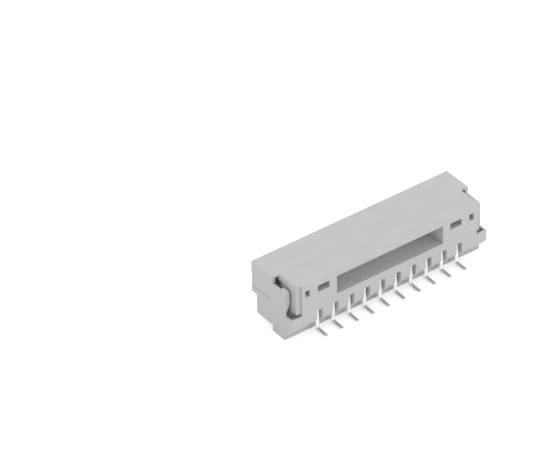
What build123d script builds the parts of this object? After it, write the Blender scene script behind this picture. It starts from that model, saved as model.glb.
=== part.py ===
from build123d import *
import os

# Right-angle pin header: a side-entry, surface-mount housing with one row of contacts.
# Frame: X along the row, the mating face towards -Y, solder feet towards +Y, board plane at Z = 0.
# The origin is under the middle of the outline. All sizes are millimetres.
# "Depth" is measured back from the mating face and "height" up from the board.
# "Inset" is measured inward from the end of the housing, and "offset" sideways from a contact's centre.

# Row
positions = 10
pitch = 1.25
end_margin = 2.25

# Housing outline
housing_height = 4.25
housing_depth = 4.18
board_gap = 0.02
lip_rise = 0.31
lip_run = 0.43
base_depth = 3.45
overhang_root_height = 0.70
overhang_edge_height = 0.84
rear_slope_rise = 0.33
rear_slope_run = 0.20
rear_edge_radius = 0.05
top_front_radius = 0.05
top_rear_radius = 0.12

# End blocks, outside the main body
shoulder_width = 0.50
shoulder_radius = 0.22
flange_depth = 2.2
side_wall_depth = 3.5
side_wall_height = 3.72
side_wall_radius = 0.2
wing_height = 1.92
side_panel_depth = 1.82
side_panel_bottom = 2.3
side_panel_top = 3.3
side_panel_recess = 0.035

# Pocket between the side wall and the body, and the set-back corner of the body above it
pocket_skin = 0.13
pocket_floor = 1.55
guide_rib_start = 2.93
guide_rib_thickness = 0.24
guide_rib_bottom = 2.15
guide_rib_taper = 0.6
flange_pocket_inset = 0.235
flange_pocket_depth = 0.6
flange_pocket_bottom = 3.0
flange_pocket_top = 4.1
corner_inset = 0.845
corner_set_back = 0.15
corner_bottom = 2.1

# Plug cavity
cavity_depth = 3.0
cavity_floor = 0.55
cavity_ceiling = 2.05
cavity_side_inset = 1.13
mouth_side_inset = 0.845
mouth_floor = 0.35
mouth_run = 0.3
end_pocket_inset = 1.705
end_pocket_ceiling = 2.73
key_slot_inset = 2.545
key_slot_width = 0.42
key_slot_ceiling = 2.5
shelf_edge_height = 2.20
shelf_edge_run = 0.42
scoop_corner_radius = 0.22

# Contact ribs
rib_height = 1.79
rib_offset = 0.29
contact_clearance = 0.01

# Lock window and latch slots
window_inset = 3.6
window_front_floor = 2.27
window_rear_floor = 2.47
window_step_depth = 2.3
window_step_run = 0.5
window_ceiling = 3.86
window_lead_rise = 0.22
window_lead_run = 0.35
latch_slot_inset = 2.09
latch_slot_width = 0.93
latch_slot_bottom = 3.30
latch_slot_height = 0.48
end_slot_inset = 0.36
end_slot_width = 1.1
end_slot_depth = 2.45
end_hole_width = 0.36

# Contacts, stamped from sheet and bent to the board
contact_thickness = 0.25
contact_tip_depth = 0.45
post_bottom = 1.37
post_top = 1.95
tip_bottom = 1.66
tip_taper_run = 0.52
tip_radius = 0.05
passage_top = 1.73
lead_thickness = 0.20
lead_depth = 3.93
lead_corner_radius = 0.08
foot_thickness = 0.20
foot_reach = 4.87
heel_radius = 0.30
instep_radius = 0.12
foot_tip_radius = 0.05
lead_groove_offset = 0.225
lead_groove_top = 1.86
lead_groove_clearance = 0.03

# Solder nails, stamped flat
nail_inset = 0.31
nail_thickness = 0.2
nail_clearance = 0.01
nail_start = 0.06
nail_riser_depth = 0.40
nail_riser_shoulder = 1.15
nail_tip_height = 1.86
nail_tip_width = 0.08
nail_bar_length = 1.99
nail_bar_height = 0.43
nail_leg_start = 0.85
nail_leg_depth = 0.60
nail_leg_top = 1.45
nail_leg_chamfer = 0.14
nail_corner_radius = 0.1

# Reliefs round the nails
nail_relief_inset = 0.905
nail_relief_height = 0.48
nail_relief_end = 2.2
riser_relief_depth = 0.55
riser_relief_height = 1.88
relief_radius = 0.06
front_skin = 0.28

# Worked out from the sizes above
half_row = (positions - 1) * pitch / 2
half_length = half_row + end_margin
half_body = half_length - shoulder_width
beyond = 1.0


def rounded_outline(points):
    """A flat outline. A third number in a point rounds that corner."""
    corners = [(point[0], point[1]) for point in points]
    radii = [point[2] if len(point) == 3 else 0 for point in points]
    if any(radii):
        line = FilletPolyline(*corners, radius=radii, close=True)
    else:
        line = Polyline(*corners, close=True)
    return make_face(line)


def prism(points, start_x, end_x):
    """An outline in depth and height, as a solid from start_x to end_x along the row."""
    return extrude(Plane.YZ.offset(start_x) * rounded_outline(points), amount=end_x - start_x)


def cross_prism(points, start_depth, end_depth):
    """An outline across the row and in height, as a solid between two depths."""
    return extrude(Plane.XZ.offset(-end_depth) * rounded_outline(points), amount=end_depth - start_depth)


def block(x_range, depth_range, height_range):
    ranges = (x_range, depth_range, height_range)
    sizes = [high - low for low, high in ranges]
    middle = [(low + high) / 2 for low, high in ranges]
    return Pos(*middle) * Box(*sizes)


def both_ends(solid):
    """The solid and its mirror image at the other end of the row."""
    return solid + mirror(solid, about=Plane.YZ)


def lower_outline():
    """The lip, the base, the underside of the overhang and the slope up to the back face."""
    return [
        (0, board_gap + lip_rise),
        (lip_run, board_gap),
        (base_depth, board_gap),
        (base_depth, overhang_root_height, rear_edge_radius),
        (housing_depth - rear_slope_run, overhang_edge_height, rear_edge_radius),
        (housing_depth, overhang_edge_height + rear_slope_rise, rear_edge_radius),
    ]


def body_block():
    """The middle of the moulding, between its end blocks, with rounded shoulders."""
    outline = lower_outline() + [
        (housing_depth, housing_height, top_rear_radius),
        (0, housing_height, top_front_radius),
    ]
    section = [
        (-half_body, 0),
        (half_body, 0),
        (half_body, housing_height, shoulder_radius),
        (-half_body, housing_height, shoulder_radius),
    ]
    return prism(outline, -half_body, half_body) & cross_prism(section, 0, housing_depth)


def end_block():
    """One end: the flange at the mating face, the side wall behind it and the wing at the back."""
    outline = lower_outline() + [
        (housing_depth, wing_height),
        (side_wall_depth, wing_height),
        (side_wall_depth, side_wall_height, side_wall_radius),
        (flange_depth, side_wall_height),
        (flange_depth, housing_height, top_front_radius),
        (0, housing_height, top_front_radius),
    ]
    return prism(outline, half_body - shoulder_radius, half_length)


def pocket():
    """The hollow inside the side wall and the wing, open at the top, with its way into the flange."""
    outer = half_length - pocket_skin
    back = housing_depth - pocket_skin
    hollow = block((half_body, outer), (flange_depth, back), (pocket_floor, housing_height + beyond))
    inner = half_length - corner_inset
    under_corner = block((inner, outer), (side_wall_depth, back), (pocket_floor, corner_bottom))
    flange_across = (half_body, half_length - flange_pocket_inset)
    flange_depths = (flange_depth - flange_pocket_depth, guide_rib_start)
    in_flange = block(flange_across, flange_depths, (flange_pocket_bottom, flange_pocket_top))
    return hollow - guide_rib() + under_corner + in_flange


def guide_rib():
    """The thicker part at the back of the side wall, tapered at its lower end."""
    outer = half_length - pocket_skin
    inner = outer - guide_rib_thickness
    top = housing_height + beyond
    section = [
        (outer, guide_rib_bottom),
        (inner, guide_rib_bottom + guide_rib_taper),
        (inner, top),
        (outer, top),
    ]
    return cross_prism(section, guide_rib_start, side_wall_depth)


def corner_step():
    """The step that sets the corner of the body back from the rest of its back face."""
    across = (half_length - corner_inset, half_length)
    depths = (housing_depth - corner_set_back, housing_depth + beyond)
    return block(across, depths, (wing_height, housing_height + beyond))


def side_panel():
    """The shallow recess in the outer side face."""
    across = (half_length - side_panel_recess, half_length + beyond)
    return block(across, (-beyond, side_panel_depth), (side_panel_bottom, side_panel_top))


def cavity_room():
    """The space for the plug between the ribs, with its lead-in at the mouth."""
    inner = half_length - cavity_side_inset
    mouth = half_length - mouth_side_inset
    room = block((-inner, inner), (-beyond, cavity_depth), (cavity_floor, rib_height))
    mouth_slope = [(0, mouth_floor), (mouth_run, cavity_floor), (mouth_run, rib_height), (0, rib_height)]
    room += prism(mouth_slope, -inner, inner)
    plan = Polyline((inner, 0), (mouth, 0), (inner, mouth_run), close=True)
    flare = extrude(Plane.XY.offset(mouth_floor) * make_face(plan), amount=end_pocket_ceiling - mouth_floor)
    pocket_inner = half_length - end_pocket_inset
    pocket = block((pocket_inner, inner), (-beyond, cavity_depth), (cavity_floor, end_pocket_ceiling))
    key_outer = half_length - key_slot_inset
    key_across = (key_outer - key_slot_width, key_outer)
    key = block(key_across, (-beyond, cavity_depth), (cavity_floor, key_slot_ceiling))
    return room + both_ends(flare + pocket + key)


def rib_gap(left_x, right_x):
    """The hollow between the ribs of two neighbouring contacts, rounded in its upper corners."""
    width = right_x - left_x
    height = cavity_ceiling - cavity_floor
    section = RectangleRounded(width, 2 * height, scoop_corner_radius)
    hollow = extrude(Plane.XZ.offset(-cavity_depth) * section, amount=cavity_depth)
    above_floor = Pos(0, cavity_depth / 2, height / 2) * Box(width, cavity_depth, height)
    return Pos((left_x + right_x) / 2, 0, cavity_floor) * (hollow & above_floor)


def shelf_scoop(reach):
    """The curved lead-in that thins the shelf to an edge at the mouth."""
    back = (shelf_edge_run, rib_height)
    front = (0, shelf_edge_height)
    line = Line((-beyond, rib_height), back) + ThreePointArc(back, scoop_middle(), front)
    line += Polyline(front, (-beyond, shelf_edge_height), (-beyond, rib_height))
    return extrude(Plane.YZ.offset(-reach) * make_face(line), amount=2 * reach)


def scoop_middle():
    rise = shelf_edge_height - rib_height
    hollow = rise / 8
    return (shelf_edge_run / 2 + hollow, rib_height + rise / 2 + hollow)


def contact_seats(centre):
    """The groove between two ribs, the passage through the rear wall and the groove behind it."""
    half = contact_thickness / 2 + contact_clearance
    across = (centre - half, centre + half)
    groove = block(across, (-beyond, cavity_depth), (cavity_floor, post_top + contact_clearance))
    passage_heights = (post_bottom - contact_clearance, passage_top + contact_clearance)
    passage = block(across, (cavity_depth - beyond, housing_depth), passage_heights)
    back_across = (centre - lead_groove_offset, centre + lead_groove_offset)
    back_depth = lead_depth - lead_thickness - lead_groove_clearance
    back = block(back_across, (back_depth, housing_depth + beyond), (-beyond, lead_groove_top))
    return groove + passage + back


def lock_window():
    """The opening for the plug's lock, right through from the mating face to the back."""
    outline = [
        (-beyond, window_front_floor),
        (window_step_depth, window_front_floor),
        (window_step_depth + window_step_run, window_rear_floor),
        (housing_depth + beyond, window_rear_floor),
        (housing_depth + beyond, window_ceiling),
        (window_lead_run, window_ceiling),
        (0, window_ceiling + window_lead_rise),
        (-beyond, window_ceiling + window_lead_rise),
    ]
    half = half_length - window_inset
    return prism(outline, -half, half)


def latch_slots():
    """The through slot beside the window, and the end slot that narrows to a small hole."""
    heights = (latch_slot_bottom, latch_slot_bottom + latch_slot_height)
    outer = half_length - latch_slot_inset
    through = (-beyond, housing_depth + beyond)
    slot = block((outer - latch_slot_width, outer), through, heights)
    end_outer = half_length - end_slot_inset
    end_inner = end_outer - end_slot_width
    end_slot = block((end_inner, end_outer), (-beyond, end_slot_depth), heights)
    end_hole = block((end_inner, end_inner + end_hole_width), through, heights)
    return slot + end_slot + end_hole


def nail_outline():
    """The nail seen from the side: a riser at the front, a bar on the board and a leg into the housing."""
    leg_end = nail_leg_start + nail_leg_depth
    bar_end = nail_start + nail_bar_length
    return [
        (nail_start, 0, nail_corner_radius),
        (bar_end, 0, nail_corner_radius),
        (bar_end, nail_bar_height, nail_corner_radius),
        (leg_end, nail_bar_height),
        (leg_end, nail_leg_top - nail_leg_chamfer),
        (leg_end - nail_leg_chamfer, nail_leg_top),
        (nail_leg_start + nail_leg_chamfer, nail_leg_top),
        (nail_leg_start, nail_leg_top - nail_leg_chamfer),
        (nail_leg_start, nail_bar_height),
        (nail_riser_depth, nail_bar_height, nail_corner_radius),
        (nail_riser_depth, nail_riser_shoulder),
        (nail_start + nail_tip_width, nail_tip_height),
        (nail_start, nail_tip_height),
    ]


def nail_reliefs():
    """The cut-away round the nail, open to the front, the side and the board, and the slot for its leg."""
    relief_x = half_length - nail_relief_inset
    nail_x = half_length - nail_inset - nail_thickness - nail_clearance
    outside = half_length + beyond
    bar_relief = [
        (front_skin, -beyond),
        (nail_relief_end, -beyond),
        (nail_relief_end, nail_relief_height, relief_radius),
        (front_skin, nail_relief_height),
    ]
    riser_relief = [
        (-beyond, -beyond),
        (nail_relief_end, -beyond),
        (nail_relief_end, nail_relief_height, relief_radius),
        (riser_relief_depth, nail_relief_height),
        (riser_relief_depth, riser_relief_height, relief_radius),
        (-beyond, riser_relief_height),
    ]
    leg_across = (nail_x, nail_x + nail_thickness + 2 * nail_clearance)
    leg_depths = (nail_leg_start - nail_clearance, nail_leg_start + nail_leg_depth + nail_clearance)
    leg_slot = block(leg_across, leg_depths, (0, nail_leg_top + nail_clearance))
    return prism(bar_relief, relief_x, outside) + prism(riser_relief, nail_x, outside) + leg_slot


def contact_centres():
    return [half_row - index * pitch for index in range(positions)]


def make_housing():
    housing = body_block() + both_ends(end_block())
    housing -= both_ends(pocket() + corner_step() + side_panel() + nail_reliefs())
    housing -= cavity_room() + shelf_scoop(half_length - key_slot_inset - key_slot_width)
    centres = contact_centres()
    gap_edges = [half_row + pitch] + centres + [-half_row - pitch]
    for left, right in zip(gap_edges[1:], gap_edges):
        housing -= rib_gap(left + rib_offset, right - rib_offset)
    for centre in centres:
        housing -= contact_seats(centre)
    housing -= lock_window() + both_ends(latch_slots())
    return housing


def make_contact(centre):
    lead_front = lead_depth - lead_thickness
    outline = [
        (contact_tip_depth, post_top, tip_radius),
        (contact_tip_depth, tip_bottom, tip_radius),
        (contact_tip_depth + tip_taper_run, post_bottom),
        (lead_front, post_bottom),
        (lead_front, 0, heel_radius),
        (foot_reach, 0, foot_tip_radius),
        (foot_reach, foot_thickness, foot_tip_radius),
        (lead_depth, foot_thickness, instep_radius),
        (lead_depth, passage_top, lead_corner_radius),
        (cavity_depth, passage_top),
        (cavity_depth, post_top),
    ]
    return prism(outline, centre - contact_thickness / 2, centre + contact_thickness / 2)


def make_nail():
    outer = half_length - nail_inset
    return prism(nail_outline(), outer - nail_thickness, outer)


def save(solid, node):
    """Move the front-face frame to the part's own frame, and write the node."""
    export_step(Pos(0, -foot_reach / 2, 0) * solid, f"parts/{node}.step")


os.makedirs("parts", exist_ok=True)
save(make_housing(), "housing")
for number, centre in enumerate(contact_centres(), start=1):
    save(make_contact(centre), f"contact_{number:02d}")
right_nail = make_nail()
save(right_nail, "fitting_nail_right")
save(mirror(right_nail, about=Plane.YZ), "fitting_nail_left")
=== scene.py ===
import math

import bpy
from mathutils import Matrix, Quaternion, Vector


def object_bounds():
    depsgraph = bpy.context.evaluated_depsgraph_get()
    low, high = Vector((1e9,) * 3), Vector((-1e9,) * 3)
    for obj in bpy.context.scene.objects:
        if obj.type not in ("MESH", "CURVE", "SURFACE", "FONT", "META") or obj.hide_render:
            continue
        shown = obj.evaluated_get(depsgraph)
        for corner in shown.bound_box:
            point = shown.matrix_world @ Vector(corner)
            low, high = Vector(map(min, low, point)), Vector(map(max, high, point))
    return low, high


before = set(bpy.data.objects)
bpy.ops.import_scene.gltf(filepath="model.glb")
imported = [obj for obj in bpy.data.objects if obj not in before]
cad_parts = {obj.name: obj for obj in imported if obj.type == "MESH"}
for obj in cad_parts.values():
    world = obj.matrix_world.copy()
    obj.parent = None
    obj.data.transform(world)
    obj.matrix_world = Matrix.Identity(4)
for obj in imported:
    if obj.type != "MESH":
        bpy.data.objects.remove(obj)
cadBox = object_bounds()
print("frame loaded:", len(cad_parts), "nodes")

mm = 0.001  # lengths below are written in millimetres times this


# Colours and shader nodes

def linearColour(hexColour):
    # undoes the sRGB curve channel by channel, and adds full alpha
    channels = [int(hexColour[i:i + 2], 16) / 255 for i in (1, 3, 5)]
    linear = [c / 12.92 if c <= 0.04045 else ((c + 0.055) / 1.055) ** 2.4 for c in channels]
    return (*linear, 1.0)


def addNode(tree, kind, settings=None, values=None, links=None):
    # settings are the node's own options, values its unlinked sockets, links its inputs from other nodes
    node = tree.nodes.new(kind)
    for name, value in (settings or {}).items():
        setattr(node, name, value)
    for name, value in (values or {}).items():
        node.inputs[name].default_value = value
    for name, source in (links or {}).items():
        tree.links.new(source, node.inputs[name])
    return node


def newMaterial(name):
    material = bpy.data.materials.new(name)
    material.use_nodes = True
    material.node_tree.nodes.clear()
    return material, material.node_tree


def seenDirectly(tree):
    # 1 for what the camera or a glossy reflection sees, 0 for the light that falls on other surfaces
    rays = addNode(tree, "ShaderNodeLightPath")
    seen = addNode(tree, "ShaderNodeMath", {"operation": "MAXIMUM"},
                   links={0: rays.outputs["Is Camera Ray"], 1: rays.outputs["Is Glossy Ray"]})
    return seen.outputs["Value"]


# A Mix node's sockets go by number. 0 is its factor, 6 and 7 are its colours with output 2, and 2 and 3
# are its plain numbers with output 0.

# Glass-filled nylon, moulded in a spark-eroded tool: an even light grey with a dull, slightly soft
# sheen, faint flow lines along the row, and a few paler flecks of filler under the skin.
mouldedNylon = {
    "colour": "#CACACA",
    "roughness": 0.55,
    "roughnessSpread": 0.06,
    "roughnessFrom": 0.3,  # the values of the flow noise between which the roughness changes
    "roughnessTo": 0.7,
    "ior": 1.53,
    "flowColour": "#C7C7C7",
    "flowLength": 2.2 * mm,
    "flowWidth": 0.35 * mm,
    "flowDetail": 3.0,  # layers of finer noise
    "flowBreakup": 0.55,  # how strongly each finer layer shows
    "flowFrom": 0.35,  # the values of the flow noise between which the colour changes
    "flowTo": 0.65,
    "fleckColour": "#D1D1D1",
    "fleckSpacing": 1.4 * mm,
    "fleckRadius": 0.05 * mm,
    "fleckCore": 0.4,  # the share of the radius that has the fleck's full colour
    "grainWidth": 0.055 * mm,  # the real grain is about 0.02, too fine to show
    "grainDepth": 0.0011 * mm,
    "grainDetail": 2.0,
    "grainBreakup": 0.6,
}


def makeMouldedNylon():
    look = mouldedNylon
    material, tree = newMaterial("mouldedNylon")
    place = addNode(tree, "ShaderNodeTexCoord").outputs["Object"]
    stretch = look["flowWidth"] / look["flowLength"]
    along = addNode(tree, "ShaderNodeMapping", values={"Scale": (stretch, 1, 1)}, links={"Vector": place})
    flow = addNode(tree, "ShaderNodeTexNoise",
                   values={"Scale": 1 / look["flowWidth"], "Detail": look["flowDetail"],
                           "Roughness": look["flowBreakup"]},
                   links={"Vector": along.outputs["Vector"]})
    flowTint = addNode(tree, "ShaderNodeValToRGB", links={"Fac": flow.outputs["Fac"]})
    flowStops = flowTint.color_ramp.elements
    flowStops[0].position = look["flowFrom"]
    flowStops[0].color = linearColour(look["flowColour"])
    flowStops[1].position = look["flowTo"]
    flowStops[1].color = linearColour(look["colour"])
    fleckCells = addNode(tree, "ShaderNodeTexVoronoi", values={"Scale": 1 / look["fleckSpacing"]},
                         links={"Vector": place})
    fleckMask = addNode(tree, "ShaderNodeValToRGB", links={"Fac": fleckCells.outputs["Distance"]})
    fleckEdge = look["fleckRadius"] / look["fleckSpacing"]
    fleckStops = fleckMask.color_ramp.elements
    fleckStops[0].position = look["fleckCore"] * fleckEdge
    fleckStops[0].color = (1, 1, 1, 1)
    fleckStops[1].position = fleckEdge
    fleckStops[1].color = (0, 0, 0, 1)
    tint = addNode(tree, "ShaderNodeMix", {"data_type": "RGBA"},
                   values={7: linearColour(look["fleckColour"])},
                   links={0: fleckMask.outputs["Color"], 6: flowTint.outputs["Color"]})
    grain = addNode(tree, "ShaderNodeTexNoise",
                    values={"Scale": 1 / look["grainWidth"], "Detail": look["grainDetail"],
                            "Roughness": look["grainBreakup"]},
                    links={"Vector": place})
    spread = look["roughnessSpread"] / 2
    sheen = addNode(tree, "ShaderNodeMapRange",
                    values={"From Min": look["roughnessFrom"], "From Max": look["roughnessTo"],
                            "To Min": look["roughness"] - spread, "To Max": look["roughness"] + spread},
                    links={"Value": flow.outputs["Fac"]})
    bump = addNode(tree, "ShaderNodeBump",
                   values={"Strength": 1.0, "Distance": look["grainDepth"]},
                   links={"Height": grain.outputs["Fac"]})
    skin = addNode(tree, "ShaderNodeBsdfPrincipled", values={"IOR": look["ior"], "Metallic": 0.0},
                   links={"Base Color": tint.outputs[2], "Roughness": sheen.outputs["Result"],
                          "Normal": bump.outputs["Normal"]})
    addNode(tree, "ShaderNodeOutputMaterial", links={"Surface": skin.outputs["BSDF"]})
    return material


# Matt tin plating over stamped copper alloy: a pale, almost neutral metal with a faint mottle. The
# flat faces keep the strip's rolled finish, and the sheared edges show fine lines across them.
# At the two turns of each lead, below the wall and above the foot, where the faces point up and back, a
# darker grey is painted in as shade.
tinPlate = {
    "colour": "#F6F6F5",
    "dullColour": "#E4E4E3",
    "mottleWidth": 0.16 * mm,
    "mottleDetail": 4.0,  # layers of finer noise
    "mottleBreakup": 0.6,  # how strongly each finer layer shows
    "mottleFrom": 0.38,  # the values of the mottle noise between which the colour changes
    "mottleTo": 0.62,
    # painted shade: the dark grey mixed in on the turns of each lead
    "turnShadeColour": "#8C8C8B",
    "turnShadeStart": 0.36,  # the smaller of the normal's Y and Z: 0 on a flat face, 0.7 halfway round a turn
    "turnShadeFull": 0.62,
    "rolledFacing": 0.7,  # where the normal's X is more than this, to either side, the face is a rolled one
    "roughness": 0.28,
    "shearedRoughness": 0.34,
    "rollLineWidth": 0.02 * mm,  # finer than a pixel in the photograph's view, as the shear lines are
    "rollLineLength": 0.6 * mm,
    "shearLineWidth": 0.03 * mm,
    "shearLineLength": 0.35 * mm,
    "lineDetail": 2.0,
    "lineDepth": 0.0012 * mm,
}


def makeTinPlate():
    look = tinPlate
    material, tree = newMaterial("tinPlatedAlloy")
    place = addNode(tree, "ShaderNodeTexCoord").outputs["Object"]
    mottle = addNode(tree, "ShaderNodeTexNoise",
                     values={"Scale": 1 / look["mottleWidth"], "Detail": look["mottleDetail"],
                             "Roughness": look["mottleBreakup"]},
                     links={"Vector": place})
    tint = addNode(tree, "ShaderNodeValToRGB", links={"Fac": mottle.outputs["Fac"]})
    tintStops = tint.color_ramp.elements
    tintStops[0].position = look["mottleFrom"]
    tintStops[0].color = linearColour(look["dullColour"])
    tintStops[1].position = look["mottleTo"]
    tintStops[1].color = linearColour(look["colour"])
    facing = addNode(tree, "ShaderNodeNewGeometry").outputs["Normal"]
    facingParts = addNode(tree, "ShaderNodeSeparateXYZ", links={"Vector": facing})
    # painted shade: where the normal points both up and back, on the turns of each lead, the mottled tin
    # colour is mixed towards a dark grey
    turnShadeFacing = addNode(tree, "ShaderNodeMath", {"operation": "MINIMUM"},
                      links={0: facingParts.outputs["Y"], 1: facingParts.outputs["Z"]})
    turnShadeMask = addNode(tree, "ShaderNodeMapRange",
                     values={"From Min": look["turnShadeStart"], "From Max": look["turnShadeFull"]},
                     links={"Value": turnShadeFacing.outputs["Value"]})
    platingAndTurnShade = addNode(tree, "ShaderNodeMix", {"data_type": "RGBA"},
                      values={7: linearColour(look["turnShadeColour"])},
                      links={0: turnShadeMask.outputs["Result"], 6: tint.outputs["Color"]})
    acrossRow = addNode(tree, "ShaderNodeMath", {"operation": "ABSOLUTE"},
                        links={0: facingParts.outputs["X"]})
    rolled = addNode(tree, "ShaderNodeMath", {"operation": "GREATER_THAN"},
                     values={1: look["rolledFacing"]},
                     links={0: acrossRow.outputs["Value"]})
    rollStretch = look["rollLineWidth"] / look["rollLineLength"]
    rollPlace = addNode(tree, "ShaderNodeMapping", values={"Scale": (1, rollStretch, 1)},
                        links={"Vector": place})
    rollLines = addNode(tree, "ShaderNodeTexNoise",
                        values={"Scale": 1 / look["rollLineWidth"], "Detail": look["lineDetail"]},
                        links={"Vector": rollPlace.outputs["Vector"]})
    shearStretch = look["shearLineWidth"] / look["shearLineLength"]
    shearPlace = addNode(tree, "ShaderNodeMapping", values={"Scale": (shearStretch, 1, 1)},
                         links={"Vector": place})
    shearLines = addNode(tree, "ShaderNodeTexNoise",
                         values={"Scale": 1 / look["shearLineWidth"], "Detail": look["lineDetail"]},
                         links={"Vector": shearPlace.outputs["Vector"]})
    lines = addNode(tree, "ShaderNodeMix", {"data_type": "FLOAT"},
                    links={0: rolled.outputs["Value"], 2: shearLines.outputs["Fac"],
                           3: rollLines.outputs["Fac"]})
    roughness = addNode(tree, "ShaderNodeMapRange",
                        values={"To Min": look["shearedRoughness"], "To Max": look["roughness"]},
                        links={"Value": rolled.outputs["Value"]})
    bump = addNode(tree, "ShaderNodeBump", values={"Strength": 1.0, "Distance": look["lineDepth"]},
                   links={"Height": lines.outputs[0]})
    metal = addNode(tree, "ShaderNodeBsdfPrincipled", values={"Metallic": 1.0},
                    links={"Base Color": platingAndTurnShade.outputs[2], "Roughness": roughness.outputs["Result"],
                           "Normal": bump.outputs["Normal"]})
    addNode(tree, "ShaderNodeOutputMaterial", links={"Surface": metal.outputs["BSDF"]})
    return material


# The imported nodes, with softened edges and their finishes
edges = {
    "weldDistance": 0.0002 * mm,
    "flatAngle": math.radians(0.5),
    "bevelAngle": math.radians(35),
    "housingBevel": 0.035 * mm,
    "stampingBevel": 0.018 * mm,
    "segments": 2,
}


def softenEdges(piece, width):
    weld = piece.modifiers.new("weldSeams", "WELD")
    weld.merge_threshold = edges["weldDistance"]
    flatten = piece.modifiers.new("joinFlats", "DECIMATE")
    flatten.decimate_type = "DISSOLVE"
    flatten.angle_limit = edges["flatAngle"]
    bevel = piece.modifiers.new("softEdges", "BEVEL")
    bevel.width = width
    bevel.segments = edges["segments"]
    bevel.limit_method = "ANGLE"
    bevel.angle_limit = edges["bevelAngle"]


def finishNode(name, material, bevelWidth):
    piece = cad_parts[name]
    piece.material_slots[0].material = material
    softenEdges(piece, bevelWidth)


nylon = makeMouldedNylon()
tin = makeTinPlate()
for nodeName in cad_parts:
    if nodeName == "housing":
        finishNode(nodeName, nylon, edges["housingBevel"])
    else:
        finishNode(nodeName, tin, edges["stampingBevel"])
print("nodes finished")


# The floor: a white card that also glows a little to the camera and in gloss, so that it shows white
floorCard = {
    "colour": "#FCFCFC",
    "halfWidth": 600 * mm,
    "cameraLift": 0.44,
}


def makeFloor():
    half = floorCard["halfWidth"]
    corners = [(-half, -half, 0), (half, -half, 0), (half, half, 0), (-half, half, 0)]
    mesh = bpy.data.meshes.new("floor")
    mesh.from_pydata(corners, [], [(0, 1, 2, 3)])
    floor = bpy.data.objects.new("floor", mesh)
    bpy.context.scene.collection.objects.link(floor)
    material, tree = newMaterial("whiteCard")
    lift = addNode(tree, "ShaderNodeMath", {"operation": "MULTIPLY"},
                   values={1: floorCard["cameraLift"]},
                   links={0: seenDirectly(tree)})
    card = addNode(tree, "ShaderNodeBsdfDiffuse", values={"Color": linearColour(floorCard["colour"])})
    glow = addNode(tree, "ShaderNodeEmission", links={"Strength": lift.outputs["Value"]})
    both = addNode(tree, "ShaderNodeAddShader",
                   links={0: card.outputs["BSDF"], 1: glow.outputs["Emission"]})
    addNode(tree, "ShaderNodeOutputMaterial", links={"Surface": both.outputs["Shader"]})
    mesh.materials.append(material)


makeFloor()
print("floor made")


# Soft studio light: an even pale room, and two large lamps that shade the faces a little.
# Angles are in degrees and powers in watts.
studio = {
    "roomStrength": 0.9,
    "backdropStrength": 1.0,  # what the camera and gloss see, where 1 is white
    "lamps": {
        "above": {"azimuth": 320, "elevation": 74, "distance": 400 * mm, "width": 300 * mm, "power": 0.38},
        "behind": {"azimuth": 205, "elevation": 16, "distance": 400 * mm, "width": 200 * mm, "power": 0.19},
    },
}


def directionFrom(azimuth, elevation):
    a = math.radians(azimuth)
    e = math.radians(elevation)
    return Vector((math.sin(a) * math.cos(e), -math.cos(a) * math.cos(e), math.sin(e)))


def makeLamp(name, lamp, target):
    light = bpy.data.lights.new(name, "AREA")
    light.shape = "SQUARE"
    light.size = lamp["width"]
    light.energy = lamp["power"]
    holder = bpy.data.objects.new(name, light)
    towards = directionFrom(lamp["azimuth"], lamp["elevation"])
    holder.location = target + towards * lamp["distance"]
    holder.rotation_mode = "QUATERNION"
    holder.rotation_quaternion = (-towards).to_track_quat("-Z", "Y")
    holder.visible_camera = False
    bpy.context.scene.collection.objects.link(holder)


def makeRoom():
    world = bpy.data.worlds.new("room")
    world.use_nodes = True
    tree = world.node_tree
    tree.nodes.clear()
    strength = addNode(tree, "ShaderNodeMapRange",
                       values={"To Min": studio["roomStrength"], "To Max": studio["backdropStrength"]},
                       links={"Value": seenDirectly(tree)})
    air = addNode(tree, "ShaderNodeBackground", links={"Strength": strength.outputs["Result"]})
    addNode(tree, "ShaderNodeOutputWorld", links={"Surface": air.outputs["Background"]})
    bpy.context.scene.world = world


makeRoom()
partMiddle = (Vector(cadBox[0]) + Vector(cadBox[1])) / 2
for lampName, lampSettings in studio["lamps"].items():
    makeLamp(lampName, lampSettings, partMiddle)
print("lights made")


# Camera, at the photograph's viewing angle and framing. Angles are in degrees.
photoCamera = {
    "azimuth": 143.48,
    "elevation": 36.70,
    "roll": -0.73,
    "distance": 298.62 * mm,
    "aim": (2.975 * mm, -7.014 * mm, 2.1 * mm),
    "lens": 309.16,  # this and the sensor's width are plain millimetres
    "sensor": 36.0,
    "clipStart": 10 * mm,
    "clipEnd": 5000 * mm,
}


def makeCamera():
    view = photoCamera
    camera = bpy.data.cameras.new("photoCamera")
    camera.lens = view["lens"]
    camera.sensor_width = view["sensor"]
    camera.clip_start = view["clipStart"]
    camera.clip_end = view["clipEnd"]
    holder = bpy.data.objects.new("photoCamera", camera)
    back = directionFrom(view["azimuth"], view["elevation"])
    holder.location = Vector(view["aim"]) + back * view["distance"]
    holder.rotation_mode = "QUATERNION"
    turn = Quaternion((0, 0, 1), math.radians(view["roll"]))
    holder.rotation_quaternion = (-back).to_track_quat("-Z", "Y") @ turn
    bpy.context.scene.collection.objects.link(holder)
    bpy.context.scene.camera = holder


makeCamera()
bpy.context.scene.view_settings.view_transform = "Standard"
print("camera made")
